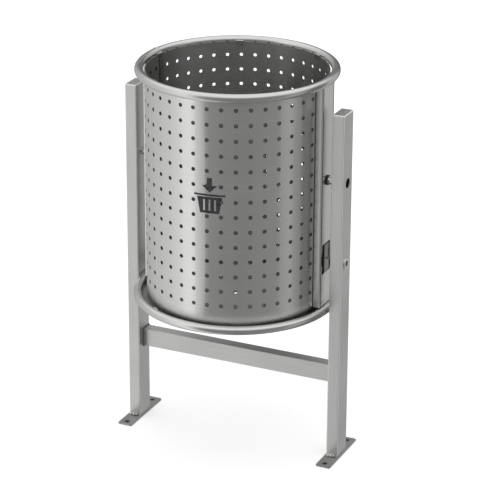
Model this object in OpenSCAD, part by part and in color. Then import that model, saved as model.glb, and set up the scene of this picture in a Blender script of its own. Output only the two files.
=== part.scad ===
// Tipping litter bin: a perforated round bin hung on two pivots between floor-fixed posts.
// Millimetres, +Z up. The origin is on the ground under the bin's axis, X runs from post to
// post, and -Y is the front.

/* [Bin] */
// Outer radius of the perforated shell
shell_r = 180; // [150:1:220]
// Thickness of the shell sheet
shell_wall = 1.5; // [1:0.1:2.5]
// Height of the top ring's centre above the pivot
rim_above_pivot = 200; // [165:1:250]
// Depth of the bottom ring's centre below the pivot
foot_below_pivot = 267.5; // [220:0.5:330]
// Thickness of the base plate, which carries the shell inside the bottom ring
base_t = 2; // [1.5:0.5:4]
// Top of the base plate below the bottom ring's centre
base_drop = 4; // [0:0.5:6]
// Diameter of the drain holes in the base plate
drain_d = 12; // [6:1:20]
// Distance of the outer drain holes from the bin's axis
drain_r = 100; // [60:1:130]

/* [Rings] */
// Diameter of the tube of both rings
ring_tube_d = 17.2; // [12:0.1:22]
// Wall of the ring tube
ring_tube_wall = 2; // [1.5:0.1:3]
// Gap between the shell and the top ring, bridged by the tabs
rim_gap = 2.4; // [1:0.1:5]
// Ledge of the base plate between the shell and the bottom ring
foot_ledge = 9.4; // [5:0.1:12]
// Number of welded tabs on the rim, and of tacks at the foot
tab_count = 6; // [3:1:8]
// Angle of one tab, from the front towards +X
tab_start = 203.5; // [180:0.5:240]
// Width of a tab around the shell
tab_w = 15; // [8:1:20]
// Sheet thickness of a tab
tab_t = 1.6; // [1:0.1:2.5]
// Height of a rim tab's inner leaf
rim_tab_h = 9; // [6:1:16]
// Leg of the tack welds at the shell's foot
foot_tack = 2.5; // [1.5:0.5:4]

/* [Perforation] */
// Diameter of one hole
hole_d = 7; // [4:0.5:9]
// Distance between holes around the shell
hole_pitch_round = 28; // [22:0.1:40]
// Distance between rows of holes
hole_pitch_up = 30.6; // [22:0.1:40]
// Angle of the first column from the front
hole_phase = -2.5; // [-4.5:0.1:4.5]
// Top row below the top ring's centre
hole_top_drop = 27.5; // [22:0.5:60]
// Least height of the lowest row above the bottom ring's centre
hole_foot_rise = 40; // [30:1:60]
// Width of the lap strip over the shell's seam
seam_w = 12; // [8:1:16]
// Thickness of the lap strip
seam_t = 1; // [0.8:0.1:1.5]
// Column after which the seam lies
seam_column = 29; // [20:1:35]

/* [Side channels] */
// Depth of a channel from the shell's radius to its web
channel_depth = 12.5; // [11:0.5:16]
// Width of a channel
channel_w = 56; // [50:1:68]
// Sheet thickness of a channel
channel_t = 2; // [1.5:0.1:2.5]
// Outer bend radius of a channel
channel_bend = 3; // [2.6:0.1:4]
// Width of the latch window in the right channel
window_w = 39; // [38:1:42]
// Height of the latch window
window_h = 62; // [46:1:80]
// Centre of the latch window above the lock
window_rise = 6; // [0:1:12]
// Thickness of the keeper plate behind the window
keeper_t = 3; // [2:0.5:3.5]
// Open width of the window in front of the keeper plate
pocket_w = 16.5; // [15:0.5:18]

/* [Frame] */
// Height of the pivot above the ground
pivot_z = 582.5; // [480:0.5:700]
// Post top above the pivot
post_over_pivot = 142; // [110:1:180]
// Width of a post across the bin
post_w = 25; // [24:1:32]
// Depth of a post from front to back
post_d = 45; // [40:1:60]
// Wall of the post and crossbar tubes
tube_wall = 2; // [1.5:0.1:2.4]
// Outer edge radius of the tubes
tube_edge = 2; // [1.5:0.1:4]
// Clearance between the bottom ring and a post
ring_clearance = 3.4; // [2.5:0.1:8]
// Thickness of a post cap
cap_t = 2; // [1.5:0.5:4]
// Height of the crossbar
bar_h = 38; // [30:1:50]
// Depth of the crossbar from front to back
bar_d = 25; // [20:1:32]
// Crossbar's centre behind the posts' centre
bar_back = 8; // [0:1:9]
// Gap between the tipping bin and the crossbar
bar_clearance = 43.6; // [20:0.1:60]

/* [Feet] */
// Length of a foot plate from front to back
foot_l = 142; // [120:1:180]
// Width of a foot plate
foot_w = 31; // [26:1:40]
// Thickness of a foot plate
foot_t = 3; // [3:0.5:8]
// Corner radius of a foot plate
foot_corner = 4; // [2:0.5:6]
// Diameter of a ground bolt hole
foot_hole_d = 10; // [8:0.5:13]
// Distance between the two ground bolt holes
foot_hole_span = 115; // [100:1:118]
// Leg of the foot weld beads
foot_weld = 3.5; // [2:0.5:5]
// Leg of the crossbar weld beads
bar_weld = 2.5; // [1.5:0.5:3.5]

/* [Pivot] */
// Diameter of the pivot bolt's shank
bolt_d = 10; // [8:1:10]
// Radial running clearance of the shank in its bush
bolt_play = 0.05; // [0.03:0.01:0.1]
// Diameter of the bolt's round head
bolt_head_d = 16; // [15:0.5:17]
// Height of the bolt's head
bolt_head_h = 9; // [7:0.5:10]
// Width of the hexagon socket across its flats
bolt_socket = 8; // [6:1:8]
// Diameter of the key access hole in a post's outer wall
access_d = 20; // [18:0.5:22]
// Outer diameter of the bush's sleeve
bush_d = 14; // [13:0.5:15]
// Outer diameter of the bush's flange
bush_flange_d = 20; // [18:1:26]
// Thickness of the bush's flange
bush_flange_t = 3; // [2:0.5:4]
// Outer diameter of the spacer tube
spacer_d = 16; // [14:1:20]
// Running gap beside the bush on both sides
end_play = 0.3; // [0.3:0.1:0.5]
// Outer diameter of the washer
washer_d = 20; // [18:1:22]
// Thickness of the washer
washer_t = 1.2; // [1:0.1:1.5]
// Width of the nut across its flats
nut_flats = 16; // [15:1:17]
// Height of the nut
nut_h = 5; // [4:0.5:5.5]

/* [Lock] */
// Depth of the lock's axis below the pivot
lock_below_pivot = 167; // [140:1:180]
// Outer diameter of the lock barrel
barrel_d = 19; // [18:0.5:22]
// Outer diameter of the lock's collar
collar_d = 22; // [21:0.5:26]
// Thickness of the collar
collar_t = 1.5; // [1:0.5:3]
// Diameter of the turning core
core_d = 12; // [10:0.5:13]
// Diameter of the core's spindle
spindle_d = 6; // [5:0.5:6]
// Radial running clearance in the lock
lock_play = 0.08; // [0.05:0.01:0.1]
// Diameter of the latch bolt
latch_d = 10; // [9:0.5:10]
// Space between the drawn-back latch tongue and the channel
latch_gap = 2.5; // [1.5:0.5:4]
// Length of the latch bolt inside the post
latch_tail = 11; // [10:0.5:12]
// Reach of the latch tongue in front of its cross plate
tongue_reach = 6; // [5:0.5:7]
// Height of the latch tongue
tongue_h = 20; // [14:1:24]
// Clearance of the latch tongue on both sides of its pocket
tongue_play = 3; // [1.5:0.5:4]
// Thickness of the latch's cross plate
cross_t = 4; // [3:0.5:4.5]

/* [Pictogram] */
// Thickness of the printed film
film_t = 0.3; // [0.2:0.1:0.5]
// Angle of the pictogram's centre from the front towards +X
film_angle = 8.1; // [-10:0.1:20]
// Centre of the pictogram above the pivot
film_rise = 0.5; // [-20:0.5:20]
// Height of the pictogram
film_h = 71; // [50:1:80]

/* [Hidden] */

round_fn = 180; // facets of the large round parts
small_fn = 48; // facets of the small round parts
seat = 0.1; // gap left between welded pieces whose faces are curved
cut = 1; // how far a cutter runs past a face

rim_z = pivot_z + rim_above_pivot;
foot_z = pivot_z - foot_below_pivot;
ring_tube_r = ring_tube_d / 2;
rim_in = shell_r + rim_gap;
foot_in = shell_r + foot_ledge;
foot_out = foot_in + ring_tube_d;
shell_in = shell_r - shell_wall;
shell_z = foot_z - base_drop;
base_z = shell_z - base_t;
base_r = foot_in + ring_tube_r - sqrt(pow(ring_tube_r, 2) - pow(base_drop, 2));

hole_turn = hole_pitch_round / shell_r * 180 / PI;
hole_cols = floor(360 / hole_turn);
hole_rows = floor((rim_z - hole_top_drop - foot_z - hole_foot_rise) / hole_pitch_up) + 1;
seam_angle = hole_phase + seam_column * hole_turn + (360 - (hole_cols - 1) * hole_turn) / 2;

web_x = shell_r + channel_depth;
channel_low = foot_z + ring_tube_r + seat;
channel_high = rim_z - ring_tube_r - seat;

post_in = foot_out + ring_clearance;
post_out = post_in + post_w;
post_x = post_in + post_w / 2;
post_h = pivot_z + post_over_pivot;
sweep_r = norm([foot_out, foot_below_pivot + ring_tube_r]);
bar_z = pivot_z - sweep_r - bar_clearance - bar_h;

lock_z = pivot_z - lock_below_pivot;
window_z = lock_z + window_rise;
keeper_y = pocket_w - window_w / 2;
latch_tip = web_x + latch_gap;
cross_x = latch_tip + tongue_reach;
latch_end = post_in + latch_tail;
core_end = latch_end + 2;
spindle_depth = 12.5; // depth of the spindle's hole in the latch bolt
spindle_tip = latch_end - spindle_depth + 1;

// Bar of round section along X.
module rod_x(x0, x1, d, y = 0, z = 0) {
    translate([x0, y, z]) rotate([0, 90, 0]) cylinder(h = x1 - x0, d = d, $fn = small_fn);
}

// Hexagon bar along X, w across its flats.
module hex_x(x0, x1, w, y = 0, z = 0) {
    translate([x0, y, z]) rotate([0, 90, 0]) cylinder(h = x1 - x0, d = w / cos(30), $fn = 6);
}

// Upright plate or bar with rounded edges, centred on its footprint.
module rounded_bar(w, d, h, r) {
    linear_extrude(h) {
        square([w - 2 * r, d], center = true);
        square([w, d - 2 * r], center = true);
        for (x = [-1, 1], y = [-1, 1])
            translate([x * (w / 2 - r), y * (d / 2 - r)]) circle(r = r, $fn = small_fn);
    }
}

// Square-cornered tube with rounded edges.
module rounded_tube(w, d, h, r, wall) {
    difference() {
        rounded_bar(w, d, h, r);
        translate([0, 0, -cut])
            rounded_bar(w - 2 * wall, d - 2 * wall, h + 2 * cut, max(0.3, r - wall));
    }
}

// The left side is the right side mirrored.
module on_left() {
    mirror([1, 0, 0]) children();
}

// One post's tube with its pivot holes; the right one also takes the lock.
module post_tube(with_lock) {
    difference() {
        translate([post_x, 0, foot_t])
            rounded_tube(post_w, post_d, post_h - cap_t - foot_t, tube_edge, tube_wall);
        rod_x(post_in - cut, post_in + tube_wall + cut, bolt_d + 2 * seat, z = pivot_z);
        rod_x(post_out - tube_wall - cut, post_out + cut, access_d, z = pivot_z);
        if (with_lock) {
            rod_x(post_in - cut, post_in + tube_wall + cut, latch_d + 4 + 2 * seat, z = lock_z);
            rod_x(post_out - tube_wall - cut, post_out + cut, barrel_d + 2 * seat, z = lock_z);
        }
    }
}

module post_cap() {
    translate([post_x, 0, post_h - cap_t]) rounded_bar(post_w, post_d, cap_t, tube_edge);
}

module foot_plate() {
    difference() {
        translate([post_x, 0, 0]) rounded_bar(foot_w, foot_l, foot_t, foot_corner);
        for (side = [-1, 1])
            translate([post_x, side * foot_hole_span / 2, -cut])
                cylinder(h = foot_t + 2 * cut, d = foot_hole_d, $fn = small_fn);
    }
}

// Quarter-round beads across the post's front and back foot.
module foot_weld_beads() {
    difference() {
        for (side = [-1, 1])
            rod_x(post_in + tube_edge, post_out - tube_edge, 2 * foot_weld,
                side * post_d / 2, foot_t);
        translate([post_x - post_w, -post_d / 2, foot_t - foot_weld - cut])
            cube([2 * post_w, post_d, 2 * foot_weld + 2 * cut]);
        translate([post_x - post_w, -post_d, foot_t - foot_weld - cut])
            cube([2 * post_w, 2 * post_d, foot_weld + cut]);
    }
}

// Quarter-round beads around the crossbar's two ends.
module crossbar_beads() {
    difference() {
        for (side = [-1, 1], face = [-1, 1]) {
            translate([side * post_in, bar_back + face * bar_d / 2, bar_z + tube_edge])
                cylinder(h = bar_h - 2 * tube_edge, r = bar_weld, $fn = small_fn);
            translate([side * post_in, bar_back - bar_d / 2 + tube_edge, bar_z + bar_h / 2
                + face * bar_h / 2]) rotate([-90, 0, 0])
                cylinder(h = bar_d - 2 * tube_edge, r = bar_weld, $fn = small_fn);
        }
        translate([-post_out, bar_back - bar_d / 2, bar_z]) cube([2 * post_out, bar_d, bar_h]);
        for (side = [-1, 1])
            translate([side * post_x - post_w / 2, -post_d, bar_z - 2 * bar_weld])
                cube([post_w, 2 * post_d, bar_h + 4 * bar_weld]);
    }
}

// Socket-head bolt: its head bears on the inside of the post's inner wall.
module pivot_bolt() {
    head_x = post_in + tube_wall;
    difference() {
        union() {
            rod_x(head_x, head_x + bolt_head_h, bolt_head_d, z = pivot_z);
            rod_x(shell_r + 1.5, head_x + cut, bolt_d, z = pivot_z);
        }
        hex_x(head_x + bolt_head_h / 2, head_x + bolt_head_h + cut, bolt_socket, z = pivot_z);
    }
}

// Tube on the bolt between the bush's flange and the post.
module spacer_tube() {
    difference() {
        rod_x(web_x + bush_flange_t + end_play, post_in, spacer_d, z = pivot_z);
        rod_x(web_x, post_in + cut, bolt_d + 2 * seat, z = pivot_z);
    }
}

// Flanged plastic bush in the channel's web, which turns on the bolt.
module pivot_bush() {
    difference() {
        union() {
            rod_x(web_x, web_x + bush_flange_t, bush_flange_d, z = pivot_z);
            rod_x(web_x - channel_t, web_x + cut, bush_d, z = pivot_z);
        }
        rod_x(web_x - channel_t - cut, web_x + bush_flange_t + cut, bolt_d + 2 * bolt_play,
            z = pivot_z);
    }
}

module pivot_washer() {
    outer = web_x - channel_t - end_play;
    difference() {
        rod_x(outer - washer_t, outer, washer_d, z = pivot_z);
        rod_x(outer - washer_t - cut, outer + cut, bolt_d + 2 * seat, z = pivot_z);
    }
}

module pivot_nut() {
    outer = web_x - channel_t - end_play - washer_t;
    difference() {
        hex_x(outer - nut_h, outer, nut_flats, z = pivot_z);
        rod_x(outer - nut_h - cut, outer + cut, bolt_d + 2 * seat, z = pivot_z);
    }
}

// Holes of the shell, for the given columns.
module perforation(columns) {
    for (k = columns, row = [0 : hole_rows - 1])
        rotate([0, 0, hole_phase + k * hole_turn])
            translate([0, -shell_in + 2, rim_z - hole_top_drop - row * hole_pitch_up])
                rotate([90, 0, 0]) cylinder(h = shell_wall + 4, d = hole_d, $fn = 16);
}

module shell_tube() {
    difference() {
        translate([0, 0, shell_z]) cylinder(h = rim_z - shell_z, r = shell_r, $fn = round_fn);
        translate([0, 0, shell_z - cut])
            cylinder(h = rim_z - shell_z + 2 * cut, r = shell_in, $fn = round_fn);
        perforation([seam_column - hole_cols + 1 : seam_column]);
    }
}

// Ring bent from round tube, with this inner radius and its centre at height z.
module tube_ring(inner_r, z) {
    translate([0, 0, z]) rotate_extrude($fn = round_fn)
        translate([inner_r + ring_tube_r, 0]) difference() {
            circle(r = ring_tube_r, $fn = small_fn);
            circle(r = ring_tube_r - ring_tube_wall, $fn = small_fn);
        }
}

// Arc pieces of one cross-section, one at each tab's angle.
module at_tabs() {
    half = tab_w / shell_r * 90 / PI;
    for (k = [0 : tab_count - 1])
        rotate([0, 0, tab_start - 90 - half + k * 360 / tab_count])
            rotate_extrude(angle = 2 * half, $fn = round_fn) children();
}

module drained_base() {
    difference() {
        translate([0, 0, base_z]) cylinder(h = base_t, r = base_r - seat, $fn = round_fn);
        for (spot = concat([[0, 0]], [for (a = [45 : 90 : 315]) drain_r * [cos(a), sin(a)]]))
            translate([spot[0], spot[1], base_z - cut])
                cylinder(h = base_t + 2 * cut, d = drain_d, $fn = small_fn);
    }
}

// Cross-section of a channel: flanges run in to the shell, the web faces the post.
module channel_section() {
    inner_bend = channel_bend - channel_t;
    difference() {
        channel_outline(web_x, channel_w / 2, channel_bend);
        channel_outline(web_x - channel_t, channel_w / 2 - channel_t, inner_bend);
        circle(r = shell_r + seat, $fn = round_fn);
    }
}

module channel_outline(x, y, r) {
    translate([0, -y + r]) square([x, 2 * (y - r)]);
    translate([0, -y]) square([x - r, 2 * y]);
    for (side = [-1, 1])
        translate([x - r, side * (y - r)]) circle(r = r, $fn = small_fn);
}

module side_channel(with_window) {
    difference() {
        translate([0, 0, channel_low]) linear_extrude(channel_high - channel_low)
            channel_section();
        rod_x(web_x - channel_t - cut, web_x + cut, bush_d + 2 * seat, z = pivot_z);
        if (with_window)
            translate([web_x - channel_t - cut, -window_w / 2, window_z - window_h / 2])
                cube([channel_t + 2 * cut, window_w, window_h]);
    }
}

// Plate behind the latch window: the latch tongue enters the pocket in front of it.
module keeper() {
    lip = 3;
    top_gap = 5;
    translate([web_x - channel_t - keeper_t, keeper_y, window_z - window_h / 2 - lip])
        cube([keeper_t, window_w / 2 + lip - keeper_y, window_h + lip - top_gap]);
}

module barrel_housing() {
    difference() {
        union() {
            rod_x(post_out, post_out + collar_t, collar_d, z = lock_z);
            rod_x(core_end, post_out + cut, barrel_d, z = lock_z);
        }
        rod_x(core_end - cut, post_out + collar_t + cut, core_d + 2 * lock_play, z = lock_z);
    }
}

// Turning core with a key slot and the spindle that drives the latch bolt.
module turning_core() {
    face_x = post_out + collar_t - 0.3;
    slot_w = 2.4;
    slot_l = 8;
    slot_depth = 6;
    difference() {
        union() {
            rod_x(core_end, face_x, core_d, z = lock_z);
            rod_x(spindle_tip, core_end + cut, spindle_d, z = lock_z);
        }
        translate([face_x - slot_depth, -slot_w / 2, lock_z - slot_l / 2])
            cube([slot_depth + cut, slot_w, slot_l]);
    }
}

module ring_nut() {
    ring_nut_t = 3;
    inner = post_out - tube_wall;
    difference() {
        hex_x(inner - ring_nut_t, inner, barrel_d + 5, z = lock_z);
        rod_x(inner - ring_nut_t - cut, inner + cut, barrel_d + 2 * seat, z = lock_z);
    }
}

// Flanged sleeve in the post's inner wall that guides the latch bolt.
module guide_sleeve() {
    flange_t = 1.5;
    difference() {
        union() {
            rod_x(post_in - flange_t, post_in, latch_d + 10, z = lock_z);
            rod_x(post_in - cut, post_in + 9, latch_d + 4, z = lock_z);
        }
        rod_x(post_in - flange_t - cut, post_in + 9 + cut, latch_d + 2 * lock_play, z = lock_z);
    }
}

// Latch bolt: a round stem in the post, and a cross plate whose tongue enters the pocket.
module sliding_latch() {
    tongue_y = tongue_play - window_w / 2;
    low = lock_z - tongue_h / 2;
    difference() {
        union() {
            rod_x(cross_x, latch_end, latch_d, z = lock_z);
            translate([cross_x, tongue_y, low])
                cube([cross_t, latch_d / 2 + 1 - tongue_y, tongue_h]);
            translate([latch_tip, tongue_y, low])
                cube([tongue_reach + cross_t, pocket_w - 2 * tongue_play, tongue_h]);
        }
        rod_x(latch_end - spindle_depth, latch_end + cut, spindle_d + 2 * lock_play, z = lock_z);
    }
}

// Outline of the pictogram: an arrow that points down into a slatted basket.
module basket_and_arrow() {
    basket_h = 0.46 * film_h;
    rim_h = 0.08 * film_h;
    arrow_low = basket_h + rim_h + 0.05 * film_h;
    difference() {
        polygon([[-19, 0], [19, 0], [25, basket_h], [-25, basket_h]]);
        for (slit = [-1 : 1])
            translate([slit * 11 - 2, 5]) square([4, basket_h - 10]);
    }
    translate([-31, basket_h + 2]) square([62, rim_h - 2]);
    polygon([[0, arrow_low], [15, arrow_low + 14], [-15, arrow_low + 14]]);
    translate([-5, arrow_low + 13]) square([10, film_h - arrow_low - 13]);
}

module printed_film() {
    difference() {
        intersection() {
            translate([0, 0, pivot_z + film_rise - film_h / 2 - cut]) difference() {
                cylinder(h = film_h + 2 * cut, r = shell_r + film_t, $fn = round_fn);
                translate([0, 0, -cut])
                    cylinder(h = film_h + 4 * cut, r = shell_r, $fn = round_fn);
            }
            rotate([0, 0, film_angle])
                translate([0, -shell_r / 2, pivot_z + film_rise - film_h / 2])
                    rotate([90, 0, 0]) linear_extrude(shell_r) basket_and_arrow();
        }
        perforation([-1 : 3]);
    }
}

module left_post() { color("darkgray") on_left() post_tube(false); }
module right_post() { color("darkgray") post_tube(true); }
module left_post_cap() { color("silver") on_left() post_cap(); }
module right_post_cap() { color("silver") post_cap(); }
module left_foot_plate() { color("gray") on_left() foot_plate(); }
module right_foot_plate() { color("gray") foot_plate(); }
module left_foot_weld() { color("lightgray") on_left() foot_weld_beads(); }
module right_foot_weld() { color("lightgray") foot_weld_beads(); }
module crossbar_weld() { color("lightgray") crossbar_beads(); }
module left_pivot_bolt() { color("dimgray") on_left() pivot_bolt(); }
module right_pivot_bolt() { color("dimgray") pivot_bolt(); }
module left_spacer() { color("silver") on_left() spacer_tube(); }
module right_spacer() { color("silver") spacer_tube(); }
module left_washer() { color("silver") on_left() pivot_washer(); }
module right_washer() { color("silver") pivot_washer(); }
module left_nut() { color("silver") on_left() pivot_nut(); }
module right_nut() { color("silver") pivot_nut(); }
module left_bush() { color("black") on_left() pivot_bush(); }
module right_bush() { color("black") pivot_bush(); }
module left_channel() { color("silver") on_left() side_channel(false); }
module right_channel() { color("silver") side_channel(true); }
module shell() { color("silver") shell_tube(); }
module top_ring() { color("lightgray") tube_ring(rim_in, rim_z); }
module bottom_ring() { color("lightgray") tube_ring(foot_in, foot_z); }
module base_plate() { color("gray") drained_base(); }
module keeper_plate() { color("gray") keeper(); }
module lock_housing() { color("gainsboro") barrel_housing(); }
module lock_core() { color("gold") turning_core(); }
module lock_nut() { color("gray") ring_nut(); }
module latch_guide() { color("gray") guide_sleeve(); }
module latch_bolt() { color("gainsboro") sliding_latch(); }
module pictogram() { color("dimgray") printed_film(); }

module crossbar() {
    color("darkgray") translate([-post_in, bar_back, bar_z + bar_h / 2]) rotate([0, 90, 0])
        rounded_tube(bar_h, bar_d, 2 * post_in, tube_edge, tube_wall);
}

// Folded tabs that hold the shell's top edge to the top ring.
module rim_tabs() {
    color("lightgray") at_tabs() {
        translate([shell_in - seat - tab_t, rim_z - rim_tab_h]) square([tab_t, rim_tab_h]);
        translate([shell_in - seat - tab_t, rim_z]) square([rim_in - shell_in + tab_t, tab_t]);
    }
}

// Short weld beads between the shell's foot and the base plate's ledge.
module foot_tacks() {
    color("lightgray") at_tabs() intersection() {
        translate([shell_r, shell_z]) circle(r = foot_tack, $fn = small_fn);
        translate([shell_r, shell_z]) square(foot_tack);
    }
}

// Lap strip over the vertical seam, inside the shell.
module seam_strip() {
    half = seam_w / shell_r * 90 / PI;
    color("gray") rotate([0, 0, seam_angle - 90 - half])
        rotate_extrude(angle = 2 * half, $fn = round_fn)
            translate([shell_in - seat - seam_t, shell_z])
                square([seam_t, rim_z - rim_tab_h - shell_z - 2]);
}

left_post();
right_post();
left_post_cap();
right_post_cap();
crossbar();
left_foot_plate();
right_foot_plate();
left_foot_weld();
right_foot_weld();
crossbar_weld();
left_pivot_bolt();
right_pivot_bolt();
left_spacer();
right_spacer();
left_washer();
right_washer();
left_nut();
right_nut();
lock_housing();
lock_nut();
latch_guide();
shell();
top_ring();
bottom_ring();
base_plate();
left_channel();
right_channel();
left_bush();
right_bush();
keeper_plate();
rim_tabs();
foot_tacks();
seam_strip();
pictogram();
lock_core();
latch_bolt();
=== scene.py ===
from math import cos, pi, radians, sin

import bmesh
import bpy
from mathutils import Matrix, Vector


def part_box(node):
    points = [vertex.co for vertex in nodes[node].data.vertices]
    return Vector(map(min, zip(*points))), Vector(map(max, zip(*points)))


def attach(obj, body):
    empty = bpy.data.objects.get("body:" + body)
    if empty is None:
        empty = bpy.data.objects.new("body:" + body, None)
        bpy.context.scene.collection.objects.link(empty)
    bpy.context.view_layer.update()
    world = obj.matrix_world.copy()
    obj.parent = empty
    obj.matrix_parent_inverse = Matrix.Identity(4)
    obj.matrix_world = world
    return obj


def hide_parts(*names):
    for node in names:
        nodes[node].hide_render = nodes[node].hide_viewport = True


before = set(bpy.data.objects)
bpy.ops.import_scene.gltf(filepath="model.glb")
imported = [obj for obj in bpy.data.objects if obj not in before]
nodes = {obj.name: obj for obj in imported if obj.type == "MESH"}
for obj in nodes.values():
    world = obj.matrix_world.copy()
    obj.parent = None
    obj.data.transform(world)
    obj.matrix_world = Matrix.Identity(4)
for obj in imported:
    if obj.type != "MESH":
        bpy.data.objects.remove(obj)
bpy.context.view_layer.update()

# ---- View -------------------------------------------------------------------------------------
# A long lens looks down on the bin from the front right, so that the right post's side, the key
# lock and the inside of the far wall are seen.
VIEW_AZIMUTH = radians(24.89)  # from the front towards the right post
VIEW_TILT = radians(21.67)
VIEW_ROLL = radians(0.23)
VIEW_PLACE = Vector((1.796, -3.851, 2.112))
VIEW_LENS = 172.3  # mm, on a sensor of 36 mm
VIEW_SHIFT = (-0.0023, 0.001)

camera = bpy.data.objects.new("view", bpy.data.cameras.new("view"))
camera.data.sensor_width = 36
camera.data.lens = VIEW_LENS
camera.data.shift_x, camera.data.shift_y = VIEW_SHIFT
camera.data.clip_start = 0.05
back = Vector((sin(VIEW_AZIMUTH) * cos(VIEW_TILT), -cos(VIEW_AZIMUTH) * cos(VIEW_TILT),
               sin(VIEW_TILT)))
across = Vector((cos(VIEW_AZIMUTH), sin(VIEW_AZIMUTH), 0))
turned = Matrix((across, back.cross(across), back)).transposed().to_4x4()
camera.matrix_world = (Matrix.Translation(VIEW_PLACE) @ turned
                       @ Matrix.Rotation(VIEW_ROLL, 4, "Z"))
bpy.context.scene.collection.objects.link(camera)
bpy.context.scene.camera = camera
bpy.context.scene.view_settings.view_transform = "Standard"

# ---- Studio -----------------------------------------------------------------------------------
# A pale floor under a room whose walls are soft light boxes and grey cloths. Steel shows what
# stands around it, so the room's brightness is set by compass direction and by height.
floor_mesh = bmesh.new()
bmesh.ops.create_grid(floor_mesh, x_segments=1, y_segments=1, size=14)
floor_data = bpy.data.meshes.new("floor")
floor_mesh.to_mesh(floor_data)
floor_mesh.free()
floor = bpy.data.objects.new("floor", floor_data)
bpy.context.scene.collection.objects.link(floor)
floor.visible_glossy = False
floor_paint = bpy.data.materials.new("pale_floor")
floor_paint.use_nodes = True
floor_shader = floor_paint.node_tree.nodes["Principled BSDF"]
floor_shader.inputs["Base Color"].default_value = (0.86, 0.86, 0.86, 1)
floor_shader.inputs["Roughness"].default_value = 0.9
floor_shader.inputs["Emission Color"].default_value = (1, 1, 1, 1)
floor_shader.inputs["Emission Strength"].default_value = 0.5
floor_data.materials.append(floor_paint)

room = bpy.data.worlds.new("room")
bpy.context.scene.world = room
room.use_nodes = True
tree = room.node_tree
make, link = tree.nodes.new, tree.links.new
backdrop = tree.nodes["Background"]
direction = make("ShaderNodeTexCoord")
apart = make("ShaderNodeSeparateXYZ")
link(direction.outputs["Generated"], apart.inputs["Vector"])
forward = make("ShaderNodeMath")
forward.operation = "MULTIPLY"
forward.inputs[1].default_value = -1
link(apart.outputs["Y"], forward.inputs[0])
compass = make("ShaderNodeMath")
compass.operation = "ARCTAN2"
link(apart.outputs["X"], compass.inputs[0])
link(forward.outputs["Value"], compass.inputs[1])
turn = make("ShaderNodeMapRange")
turn.inputs["From Min"].default_value = -pi
turn.inputs["From Max"].default_value = pi
link(compass.outputs["Value"], turn.inputs["Value"])
walls = make("ShaderNodeValToRGB")
link(turn.outputs["Result"], walls.inputs["Fac"])
# degrees from the front towards the right post, and the brightness of the room there
WALLS = [(-180, 0.12), (-150, 0.16), (-128, 0.48), (-60, 0.74), (-36, 1.0), (-27, 0.90),
         (-17, 0.27), (30, 0.22), (80, 0.27), (90, 0.44), (103, 0.38), (112, 0.17), (134, 0.16),
         (144, 0.50), (168, 0.50), (180, 0.12)]
ramp = walls.color_ramp
for place, (angle, level) in enumerate(WALLS):
    at = (angle + 180) / 360
    stop = ramp.elements[place] if place < 2 else ramp.elements.new(at)
    stop.position = at
    stop.color = (level, level, level, 1)
ceiling = make("ShaderNodeMapRange")
ceiling.interpolation_type = "SMOOTHSTEP"
ceiling.inputs["From Min"].default_value = 0.30
ceiling.inputs["From Max"].default_value = 0.75
link(apart.outputs["Z"], ceiling.inputs["Value"])
blend = make("ShaderNodeMix")
blend.data_type = "RGBA"
link(ceiling.outputs["Result"], blend.inputs["Factor"])
link(walls.outputs["Color"], blend.inputs["A"])
blend.inputs["B"].default_value = (0.95, 0.95, 0.95, 1)
seen = make("ShaderNodeLightPath")
plain = make("ShaderNodeMix")
plain.data_type = "RGBA"
link(seen.outputs["Is Camera Ray"], plain.inputs["Factor"])
link(blend.outputs["Result"], plain.inputs["A"])
plain.inputs["B"].default_value = (1, 1, 1, 1)
link(plain.outputs["Result"], backdrop.inputs["Color"])
backdrop.inputs["Strength"].default_value = 1.0

# ---- Brushed steel ----------------------------------------------------------------------------
# All of the bin's steel is satin stainless. The fine scratches of the abrasive belt run one way,
# and handling leaves faint dull patches.
grain = bpy.data.node_groups.new("belt_grain", "ShaderNodeTree")
for name, kind, start in (("Vector", "NodeSocketVector", None), ("Light", "NodeSocketColor", None),
                          ("Dark", "NodeSocketColor", None), ("Smooth", "NodeSocketFloat", 0.25),
                          ("Rough", "NodeSocketFloat", 0.40)):
    socket = grain.interface.new_socket(name, in_out="INPUT", socket_type=kind)
    if start is not None:
        socket.default_value = start
for name, kind in (("Color", "NodeSocketColor"), ("Roughness", "NodeSocketFloat"),
                   ("Height", "NodeSocketFloat")):
    grain.interface.new_socket(name, in_out="OUTPUT", socket_type=kind)
make, link = grain.nodes.new, grain.links.new
given, put = make("NodeGroupInput"), make("NodeGroupOutput")
fine = make("ShaderNodeTexNoise")
fine.inputs["Scale"].default_value = 1
fine.inputs["Detail"].default_value = 5
fine.inputs["Roughness"].default_value = 0.65
link(given.outputs["Vector"], fine.inputs["Vector"])
place_on = make("ShaderNodeTexCoord")
patches = make("ShaderNodeTexNoise")
patches.inputs["Scale"].default_value = 9
patches.inputs["Detail"].default_value = 4
link(place_on.outputs["Object"], patches.inputs["Vector"])
tone = make("ShaderNodeMapRange")
tone.inputs["From Min"].default_value = 0.30
tone.inputs["From Max"].default_value = 0.70
link(fine.outputs["Fac"], tone.inputs["Value"])
tint = make("ShaderNodeMix")
tint.data_type = "RGBA"
link(tone.outputs["Result"], tint.inputs["Factor"])
link(given.outputs["Dark"], tint.inputs["A"])
link(given.outputs["Light"], tint.inputs["B"])
link(tint.outputs["Result"], put.inputs["Color"])
mixed = make("ShaderNodeMath")
mixed.operation = "MULTIPLY_ADD"
mixed.inputs[1].default_value = 0.6
link(patches.outputs["Fac"], mixed.inputs[0])
half_fine = make("ShaderNodeMath")
half_fine.operation = "MULTIPLY"
half_fine.inputs[1].default_value = 0.4
link(fine.outputs["Fac"], half_fine.inputs[0])
link(half_fine.outputs["Value"], mixed.inputs[2])
dull = make("ShaderNodeMapRange")
dull.inputs["From Min"].default_value = 0.35
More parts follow.
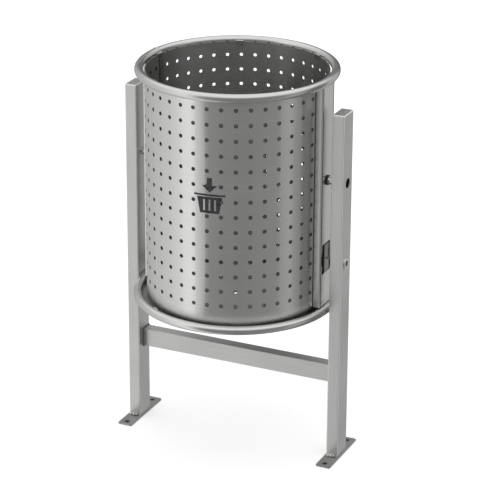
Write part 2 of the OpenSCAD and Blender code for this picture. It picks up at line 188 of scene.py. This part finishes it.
dull.inputs["From Max"].default_value = 0.65
link(mixed.outputs["Value"], dull.inputs["Value"])
link(given.outputs["Smooth"], dull.inputs["To Min"])
link(given.outputs["Rough"], dull.inputs["To Max"])
link(dull.outputs["Result"], put.inputs["Roughness"])
link(fine.outputs["Fac"], put.inputs["Height"])

# Coordinates that run around the bin's axis: arc, height and depth, in metres.
around = bpy.data.node_groups.new("around_axis", "ShaderNodeTree")
around.interface.new_socket("Radius", in_out="INPUT", socket_type="NodeSocketFloat")
around.interface.new_socket("Stretch", in_out="INPUT", socket_type="NodeSocketVector")
around.interface.new_socket("Vector", in_out="OUTPUT", socket_type="NodeSocketVector")
make, link = around.nodes.new, around.links.new
given, put = make("NodeGroupInput"), make("NodeGroupOutput")
where = make("ShaderNodeTexCoord")
parts = make("ShaderNodeSeparateXYZ")
link(where.outputs["Object"], parts.inputs["Vector"])
angle_of = make("ShaderNodeMath")
angle_of.operation = "ARCTAN2"
link(parts.outputs["Y"], angle_of.inputs[0])
link(parts.outputs["X"], angle_of.inputs[1])
arc = make("ShaderNodeMath")
arc.operation = "MULTIPLY"
link(angle_of.outputs["Value"], arc.inputs[0])
link(given.outputs["Radius"], arc.inputs[1])
joined = make("ShaderNodeCombineXYZ")
link(arc.outputs["Value"], joined.inputs["X"])
link(parts.outputs["Z"], joined.inputs["Z"])
stretched = make("ShaderNodeVectorMath")
stretched.operation = "MULTIPLY"
link(joined.outputs["Vector"], stretched.inputs[0])
link(given.outputs["Stretch"], stretched.inputs[1])
link(stretched.outputs["Vector"], put.inputs["Vector"])


def steel(name, light, dark, smooth, rough, stretch, radius=None, bump=0.00001):
    """Brushed steel whose scratches run along the axis with the small stretch."""
    material = bpy.data.materials.new(name)
    material.use_nodes = True
    shader = material.node_tree.nodes["Principled BSDF"]
    make, link = material.node_tree.nodes.new, material.node_tree.links.new
    belt = make("ShaderNodeGroup")
    belt.node_tree = grain
    belt.inputs["Light"].default_value = (light, light, light * 0.985, 1)
    belt.inputs["Dark"].default_value = (dark, dark, dark * 0.985, 1)
    belt.inputs["Smooth"].default_value = smooth
    belt.inputs["Rough"].default_value = rough
    if radius:
        wrap = make("ShaderNodeGroup")
        wrap.node_tree = around
        wrap.inputs["Radius"].default_value = radius
        wrap.inputs["Stretch"].default_value = stretch
        link(wrap.outputs["Vector"], belt.inputs["Vector"])
    else:
        spot = make("ShaderNodeTexCoord")
        scaled = make("ShaderNodeMapping")
        scaled.inputs["Scale"].default_value = stretch
        link(spot.outputs["Object"], scaled.inputs["Vector"])
        link(scaled.outputs["Vector"], belt.inputs["Vector"])
    relief = make("ShaderNodeBump")
    relief.inputs["Strength"].default_value = 1
    relief.inputs["Distance"].default_value = bump
    link(belt.outputs["Height"], relief.inputs["Height"])
    link(belt.outputs["Color"], shader.inputs["Base Color"])
    link(belt.outputs["Roughness"], shader.inputs["Roughness"])
    link(relief.outputs["Normal"], shader.inputs["Normal"])
    shader.inputs["Metallic"].default_value = 1
    return material


def wear_material(node, material):
    """A CAD node keeps its mesh and takes this material in every slot."""
    data = nodes[node].data
    data.materials.clear()
    data.materials.append(material)


# ---- Shell ------------------------------------------------------------------------------------
# The perforated sheet, rolled into a tube and brushed around the bin before it was rolled.
# Each punched hole has a darkened ring, and the foot and the inside are darkened as painted shade.
HOLE_PITCH, HOLE_PITCH_UP, HOLE_TOP = 0.028, 0.0306, 0.755
SHELL_RADIUS, SHELL_FOOT = 0.180, 0.311
HOLE_ROWS = 14
HOLE_PHASE = 2.5  # degrees that the columns are turned by
HOLE_RING_INNER, HOLE_RING_OUTER = 0.0036, 0.0046  # from a hole's centre
FOOT_SHADE_LOW, FOOT_SHADE_HIGH = SHELL_FOOT + 0.006, SHELL_FOOT + 0.016
INSIDE_SHADE = 0.16
SEAM_TURN = 82.2  # degrees from the front to the side opposite the seam
ACROSS_GRAIN, ALONG_GRAIN = 2600, 12
shell_steel = steel("shell_steel", 0.86, 0.70, 0.24, 0.36,
                    (ALONG_GRAIN, 1, ACROSS_GRAIN), radius=SHELL_RADIUS)
shell_tree = shell_steel.node_tree
shell_shader = shell_tree.nodes["Principled BSDF"]
shell_shader.inputs["Anisotropic"].default_value = 0.75
shell_shader.inputs["Anisotropic Rotation"].default_value = 0.25
turned_way = shell_tree.nodes.new("ShaderNodeTangent")
turned_way.direction_type = "RADIAL"
turned_way.axis = "Z"
shell_tree.links.new(turned_way.outputs["Tangent"], shell_shader.inputs["Tangent"])
make, link = shell_tree.nodes.new, shell_tree.links.new


def figure(kind, first, second=None, third=None):
    """One step of arithmetic in the shell's material, on sockets or numbers."""
    step = make("ShaderNodeMath")
    step.operation = kind
    for slot, value in zip(step.inputs, (first, second, third)):
        if isinstance(value, bpy.types.NodeSocket):
            link(value, slot)
        elif value is not None:
            slot.default_value = value
    return step.outputs["Value"]


def ease(value, start, end, low, high):
    """A soft step from low to high."""
    step = make("ShaderNodeMapRange")
    step.interpolation_type = "SMOOTHSTEP"
    for name, number in (("From Min", start), ("From Max", end), ("To Min", low),
                         ("To Max", high)):
        step.inputs[name].default_value = number
    link(value, step.inputs["Value"])
    return step.outputs["Result"]


spot = make("ShaderNodeTexCoord")
turned_spot = make("ShaderNodeMapping")
turned_spot.inputs["Rotation"].default_value = (0, 0, radians(90 - SEAM_TURN))
link(spot.outputs["Object"], turned_spot.inputs["Vector"])
side = make("ShaderNodeSeparateXYZ")
link(turned_spot.outputs["Vector"], side.inputs["Vector"])
arc_length = figure("MULTIPLY", figure("ARCTAN2", side.outputs["Y"], side.outputs["X"]),
                    SHELL_RADIUS)
column = figure("DIVIDE", figure("ADD", arc_length, radians(SEAM_TURN + HOLE_PHASE) * SHELL_RADIUS),
                HOLE_PITCH)
row = figure("DIVIDE", figure("SUBTRACT", side.outputs["Z"], HOLE_TOP), HOLE_PITCH_UP)
off_column = figure("MULTIPLY", figure("SUBTRACT", column, figure("ROUND", column)), HOLE_PITCH)
off_row = figure("MULTIPLY", figure("SUBTRACT", row, figure("ROUND", row)), HOLE_PITCH_UP)
from_hole = figure("SQRT", figure("ADD", figure("MULTIPLY", off_column, off_column),
                                  figure("MULTIPLY", off_row, off_row)))
above_last = figure("GREATER_THAN", side.outputs["Z"],
                    HOLE_TOP - (HOLE_ROWS - 0.5) * HOLE_PITCH_UP)
# A narrow ring at each hole's edge is darkened.
hole_ring = figure("MULTIPLY", ease(from_hole, HOLE_RING_INNER, HOLE_RING_OUTER, 0.97, 0.0),
                    above_last)
# Painted shade at the foot, in the groove by the bottom ring.
foot_shade = ease(side.outputs["Z"], FOOT_SHADE_LOW, FOOT_SHADE_HIGH, 0.75, 0.0)
# The inside of the shell is darkened as painted shade.
outward = make("ShaderNodeVectorMath")
outward.operation = "DOT_PRODUCT"
link(spot.outputs["Normal"], outward.inputs[0])
link(spot.outputs["Object"], outward.inputs[1])
inside = figure("MULTIPLY", figure("LESS_THAN", outward.outputs["Value"], -0.02),
                INSIDE_SHADE)
shade_and_hole_rings = figure("MAXIMUM", figure("MAXIMUM", hole_ring, foot_shade), inside)
darkened_colour = make("ShaderNodeMix")
darkened_colour.data_type = "RGBA"
brushed = shell_shader.inputs["Base Color"].links[0].from_socket
link(shade_and_hole_rings, darkened_colour.inputs["Factor"])
link(brushed, darkened_colour.inputs["A"])
darkened_colour.inputs["B"].default_value = (0.045, 0.045, 0.042, 1)
link(darkened_colour.outputs["Result"], shell_shader.inputs["Base Color"])
wear_material("shell", shell_steel)

# ---- Seam and base ----------------------------------------------------------------------------
# A narrow strip laps the shell's seam on the inside. It and the base plate are plain sheet,
# coloured darker as painted shade inside the bin.
inside_steel = steel("inside_steel", 0.46, 0.34, 0.34, 0.5, (900, 900, 20))
for plain_node in ("seam_strip", "base_plate"):
    wear_material(plain_node, inside_steel)


def new_piece(name, mesh, body, material):
    """A mesh becomes a piece that rides on a body."""
    data = bpy.data.meshes.new(name)
    mesh.to_mesh(data)
    mesh.free()
    piece = bpy.data.objects.new(name, data)
    bpy.context.scene.collection.objects.link(piece)
    for one in material if isinstance(material, tuple) else (material,):
        data.materials.append(one)
    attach(piece, body)
    return piece


def soften(mesh, edges, offset):
    """A small round on these edges."""
    bmesh.ops.bevel(mesh, geom=edges, offset=offset, affect="EDGES", segments=2, profile=0.5,
                    material=-1)


def thin_block(size, offset):
    """A block of this size at the centre, with its edges rounded."""
    mesh = bmesh.new()
    bmesh.ops.create_cube(mesh, size=1)
    bmesh.ops.scale(mesh, vec=size, verts=mesh.verts)
    soften(mesh, mesh.edges[:], offset)
    return mesh


def mottled(name, grain_scale, dark, light, roughness):
    """A material whose colour drifts from dark to light, with its noise and its ramp."""
    material = bpy.data.materials.new(name)
    material.use_nodes = True
    make, link = material.node_tree.nodes.new, material.node_tree.links.new
    shader = material.node_tree.nodes["Principled BSDF"]
    shader.inputs["Roughness"].default_value = roughness
    noise = make("ShaderNodeTexNoise")
    noise.inputs["Scale"].default_value = grain_scale
    tones = make("ShaderNodeValToRGB")
    tones.color_ramp.elements[0].color = (*dark, 1)
    tones.color_ramp.elements[1].color = (*light, 1)
    place_on = make("ShaderNodeTexCoord")
    link(place_on.outputs["Object"], noise.inputs["Vector"])
    link(noise.outputs["Fac"], tones.inputs["Fac"])
    link(tones.outputs["Color"], shader.inputs["Base Color"])
    return material, noise, tones.color_ramp


# Near-black material for painted shade in gaps, folds, the pocket and under the bolt holes.
painted_shade, _, _ = mottled("painted_shade", 700, (0.015, 0.015, 0.014), (0.06, 0.058, 0.052), 0.85)

# A dark strip on the shell's inside, beside the seam strip's edge, is painted shade of the gap
# there.
STRIP_EDGE_TURN = 2.3  # degrees from the seam to the strip's edge
seam_low, seam_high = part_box("seam_strip")
seam_line = thin_block((0.0016, 0.0006, seam_high[2] - seam_low[2]), 0.0002)
bmesh.ops.translate(seam_line, verts=seam_line.verts,
                    vec=(0, 0.0018 - SHELL_RADIUS, (seam_low[2] + seam_high[2]) / 2))
bmesh.ops.rotate(seam_line, verts=seam_line.verts, cent=(0, 0, 0),
                 matrix=Matrix.Rotation(radians(SEAM_TURN + 180 + STRIP_EDGE_TURN), 3, "Z"))
new_piece("seam_shade_line", seam_line, "bin", painted_shade)

# ---- Rings ------------------------------------------------------------------------------------
# Two rings of bent round tube, polished smoother than the sheet. Each is closed by a butt weld,
# which stands proud of the tube as a narrow collar.
ring_steel = steel("ring_steel", 0.80, 0.66, 0.17, 0.30, (ALONG_GRAIN, 1, 1500), radius=0.19)
for ring in ("top_ring", "bottom_ring", "rim_tabs", "foot_tacks"):
    wear_material(ring, ring_steel)
weld_steel = steel("weld_steel", 0.88, 0.60, 0.14, 0.34, (500, 500, 500), bump=0.00006)

COLLAR_DROPS = 22
for ring, name in (("top_ring", "top_ring_weld"), ("bottom_ring", "bottom_ring_weld")):
    low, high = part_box(ring)
    tube = (high[2] - low[2]) / 2
    centre = Vector((0, -(high[0] - tube), (low[2] + high[2]) / 2))
    collar = bmesh.new()
    for drop in range(COLLAR_DROPS):
        turn_on = 2 * pi * drop / COLLAR_DROPS
        place = centre + Vector((0, cos(turn_on), sin(turn_on))) * tube
        bmesh.ops.create_icosphere(collar, subdivisions=2, radius=0.0015,
                                   matrix=Matrix.Translation(place))
    bmesh.ops.rotate(collar, verts=collar.verts, cent=(0, 0, 0),
                     matrix=Matrix.Rotation(radians(SEAM_TURN + 180), 3, "Z"))
    new_piece(name, collar, "bin", weld_steel)

# ---- Posts ------------------------------------------------------------------------------------
# Rectangular tubes, brushed along their length. Their rounded edges carry a painted highlight,
# and the caps are welded in and ground flush, with a painted highlight around their border.
post_steel = steel("post_steel", 0.78, 0.64, 0.27, 0.40, (2600, 2600, 14))
# Near-white, barely metal steel: a painted highlight.
painted_edge_highlight = steel("painted_edge_highlight", 0.98, 0.88, 0.35, 0.50, (60, 60, 60))
painted_edge_highlight.node_tree.nodes["Principled BSDF"].inputs["Metallic"].default_value = 0.15
EDGE_RADIUS = 0.002
NEAR = 0.00001  # corners closer than this are one corner


def joined_mesh(node):
    """A copy of a CAD node's mesh whose facets are joined into whole faces."""
    mesh = bmesh.new()
    mesh.from_mesh(nodes[node].data)
    bmesh.ops.remove_doubles(mesh, verts=mesh.verts, dist=NEAR)
    bmesh.ops.dissolve_limit(mesh, angle_limit=radians(1), verts=mesh.verts, edges=mesh.edges)
    return mesh


def top_edges(mesh, height):
    """The edges that lie flat at this height."""
    return [edge for edge in mesh.edges
            if all(abs(corner.co.z - height) < NEAR for corner in edge.verts)]


def edged_copy(node, name, body, material):
    """The node's mesh, joined up, whose rounded edges take the painted highlight."""
    low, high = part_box(node)
    mesh = joined_mesh(node)
    for face in mesh.faces:
        middle = face.calc_center_median()
        gaps = sorted(min(middle[axis] - low[axis], high[axis] - middle[axis])
                      for axis in range(3))
        face.material_index = int(gaps[1] < 0.45 * EDGE_RADIUS)
    piece = new_piece(name, mesh, body, (material, painted_edge_highlight))
    for face in piece.data.polygons:
        face.use_smooth = False
    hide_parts(node)
    return piece


for side_name in ("left", "right"):
    edged_copy(f"{side_name}_post", f"{side_name}_post_tube", "frame", post_steel)
    low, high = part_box(f"{side_name}_post_cap")
    cap = joined_mesh(f"{side_name}_post_cap")
    soften(cap, top_edges(cap, high[2]), 0.0007)
    # The cap's sides and a narrow border around its top take the painted highlight.
    lid = [face for face in cap.faces if face.normal.z > 0.9 and face.calc_area() > 0.0004]
    for face in cap.faces:
        face.material_index = 1
    bmesh.ops.inset_region(cap, faces=lid, thickness=0.0016, use_even_offset=True)
    for face in lid:
        face.material_index = 0
    cap_piece = new_piece(f"{side_name}_post_lid", cap, "frame", (post_steel, painted_edge_highlight))
    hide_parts(f"{side_name}_post_cap")

# ---- Channels ---------------------------------------------------------------------------------
# A folded channel stiffens each side of the shell and takes the pivot. It runs from ring to ring
# and is brighter than the posts, with soft bends.
channel_steel = steel("channel_steel", 0.88, 0.72, 0.22, 0.36, (2200, 2200, 16))
for channel in ("left_channel", "right_channel"):
    wear_material(channel, channel_steel)
# The keeper plate's steel is darkened as painted shade of the pocket behind the window.
wear_material("keeper_plate", steel("keeper_steel", 0.42, 0.30, 0.3, 0.45, (1500, 1500, 20)))

# Painted shade lies in the gap beside each flange, in the fold, and in the pocket behind the
# window.
low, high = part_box("right_channel")
flange_side, web_face = -low[1], high[0]
gap_turn = pi / 2 - (flange_side + 0.0013) / SHELL_RADIUS
for side_name, way in (("left", -1), ("right", 1)):
    for front in (-1, 1):
        gap_line = thin_block((0.0026, 0.0006, high[2] - low[2]), 0.0002)
        bmesh.ops.translate(gap_line, verts=gap_line.verts,
                            vec=(0, front * SHELL_RADIUS, (low[2] + high[2]) / 2))
        bmesh.ops.rotate(gap_line, verts=gap_line.verts, cent=(0, 0, 0),
                         matrix=Matrix.Rotation(-front * way * gap_turn, 3, "Z"))
        new_piece(f"{side_name}_gap_shade_{front + 1}", gap_line, "bin", painted_shade)
        fold_line = thin_block((0.0004, 0.0022, high[2] - low[2] - 0.001), 0.00015)
        bmesh.ops.translate(fold_line, verts=fold_line.verts,
                            vec=(way * web_face, front * (flange_side - 0.0035),
                                 (low[2] + high[2]) / 2))
        new_piece(f"{side_name}_fold_shade_{front + 1}", fold_line, "bin", painted_shade)
POCKET_WIDTH = 0.018  # of the dark strip beside the keeper plate
low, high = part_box("keeper_plate")
pocket = thin_block((0.0005, POCKET_WIDTH, high[2] - low[2] - 0.001), 0.0002)
bmesh.ops.translate(pocket, verts=pocket.verts,
                    vec=(SHELL_RADIUS + 0.0006, low[1] - POCKET_WIDTH / 2,
                         (low[2] + high[2]) / 2))
new_piece("pocket_shade", pocket, "bin", painted_shade)

# ---- Crossbar and its welds -------------------------------------------------------------------
# The same tube as the posts joins them under the bin, welded all round. The beads are left as
# they were laid, darkened by the heat.
bar_steel = steel("bar_steel", 0.78, 0.64, 0.27, 0.40, (14, 2600, 2600))
# The crossbar's rounded edges take the painted highlight too.
edged_copy("crossbar", "crossbar_tube", "frame", bar_steel)
heat_steel = steel("heat_steel", 0.50, 0.22, 0.22, 0.45, (500, 500, 500), bump=0.00006)


def weld_run(mesh, start, end, bead, pace=0.0022):
    """Overlapping drops of weld metal from start to end. Their sizes follow the welder's hand."""
    start, end = Vector(start), Vector(end)
    count = max(2, round((end - start).length / pace))
    for drop in range(count + 1):
        size = bead * (1 + 0.16 * sin(2.4 * drop) + 0.1 * cos(5.1 * drop))
        bmesh.ops.create_icosphere(mesh, subdivisions=2, radius=size,
                                   matrix=Matrix.Translation(start.lerp(end, drop / count)))


low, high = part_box("crossbar")
BAR_BEAD = 0.0016
bar_beads = bmesh.new()
for end in (-1, 1):
    x = end * (high[0] - 0.0008)
    corners = [(x, low[1], low[2]), (x, high[1], low[2]), (x, high[1], high[2]),
               (x, low[1], high[2])]
    for here, there in zip(corners, corners[1:] + corners[:1]):
        weld_run(bar_beads, here, there, BAR_BEAD)
bar_weld = new_piece("crossbar_weld_beads", bar_beads, "frame", heat_steel)
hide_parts("crossbar_weld")

# ---- Feet -------------------------------------------------------------------------------------
# Flat plates with a hole at each end for a ground bolt. The post stands on the plate between two
# short bright beads.
FOOT_BEAD = 0.0036
ANCHOR_REACH, ANCHOR_RADIUS = 0.0575, 0.0049
plate_steel = steel("plate_steel", 0.50, 0.36, 0.26, 0.42, (1800, 14, 1800))
for side_name in ("left", "right"):
    low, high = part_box(f"{side_name}_foot_plate")
    plate = joined_mesh(f"{side_name}_foot_plate")
    soften(plate, top_edges(plate, high[2]), 0.0006)
    plate_piece = new_piece(f"{side_name}_foot_flat", plate, "frame", plate_steel)
    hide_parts(f"{side_name}_foot_plate")

    weld_low, weld_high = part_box(f"{side_name}_foot_weld")
    beads = bmesh.new()
    for front in (-1, 1):
        y = front * (weld_high[1] - 0.0016)
        weld_run(beads, (weld_low[0] + 0.003, y, weld_low[2] + 0.0022),
                 (weld_high[0] - 0.006, y, weld_low[2] + 0.0022), FOOT_BEAD, pace=0.0052)
    bead_piece = new_piece(f"{side_name}_foot_beads", beads, "frame", weld_steel)
    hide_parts(f"{side_name}_foot_weld")

    # A near-black disc on the ground under each bolt hole is a painted shadow.
    for front in (-1, 1):
        shadow_hole = bmesh.new()
        bmesh.ops.create_circle(shadow_hole, cap_ends=True, segments=32, radius=ANCHOR_RADIUS)
        bmesh.ops.translate(shadow_hole, verts=shadow_hole.verts,
                            vec=((low[0] + high[0]) / 2, front * ANCHOR_REACH, 0.0004))
        hole_data = bpy.data.meshes.new(f"{side_name}_anchor_hole")
        shadow_hole.to_mesh(hole_data)
        shadow_hole.free()
        hole_data.materials.append(painted_shade)
        anchor = bpy.data.objects.new(f"{side_name}_anchor_hole_{front + 1}", hole_data)
        bpy.context.scene.collection.objects.link(anchor)

# ---- Pivots -----------------------------------------------------------------------------------
# Socket bolts through a plastic bush, a turned spacer, a washer and a nut. The turned pieces are
# polished, so they mirror the dark gap around them.
turned_steel = steel("turned_steel", 0.80, 0.62, 0.10, 0.22, (2400, 300, 300))
bolt_steel = steel("bolt_steel", 0.50, 0.36, 0.25, 0.40, (300, 300, 300))
bush_plastic, _, _ = mottled("bush_plastic", 900, (0.012, 0.012, 0.012), (0.035, 0.035, 0.034),
                             0.42)
for side_name in ("left", "right"):
    wear_material(f"{side_name}_bush", bush_plastic)
    wear_material(f"{side_name}_spacer", turned_steel)
    wear_material(f"{side_name}_washer", turned_steel)
    wear_material(f"{side_name}_pivot_bolt", bolt_steel)
    wear_material(f"{side_name}_nut", bolt_steel)

# ---- Lock -------------------------------------------------------------------------------------
# A chromed barrel in the post, with a core that a key turns. The latch and its sleeve are plain
# turned steel.
lock_chrome = steel("lock_chrome", 0.82, 0.70, 0.08, 0.16, (300, 900, 900))
core_metal = steel("lock_core_metal", 0.12, 0.07, 0.16, 0.30, (300, 900, 900))
for lock_node in ("lock_housing", "lock_nut"):
    wear_material(lock_node, lock_chrome)
wear_material("lock_core", core_metal)
wear_material("latch_guide", turned_steel)
wear_material("latch_bolt", bolt_steel)

# ---- Pictogram --------------------------------------------------------------------------------
# A black printed film on the shell's front: an arrow that points down into a basket. Cleaning
# has scuffed the ink a little.
ink, scuffs, scuff_tones = mottled("film_ink", 260, (0.012, 0.012, 0.013), (0.07, 0.07, 0.07), 0.5)
scuffs.inputs["Detail"].default_value = 6
scuff_tones.elements[0].position = 0.35
scuff_tones.elements[1].position = 0.80
scuff_rough = ink.node_tree.nodes.new("ShaderNodeMapRange")
scuff_rough.inputs["To Min"].default_value = 0.38
scuff_rough.inputs["To Max"].default_value = 0.62
ink.node_tree.links.new(scuffs.outputs["Fac"], scuff_rough.inputs["Value"])
ink.node_tree.links.new(scuff_rough.outputs["Result"],
                        ink.node_tree.nodes["Principled BSDF"].inputs["Roughness"])
wear_material("pictogram", ink)
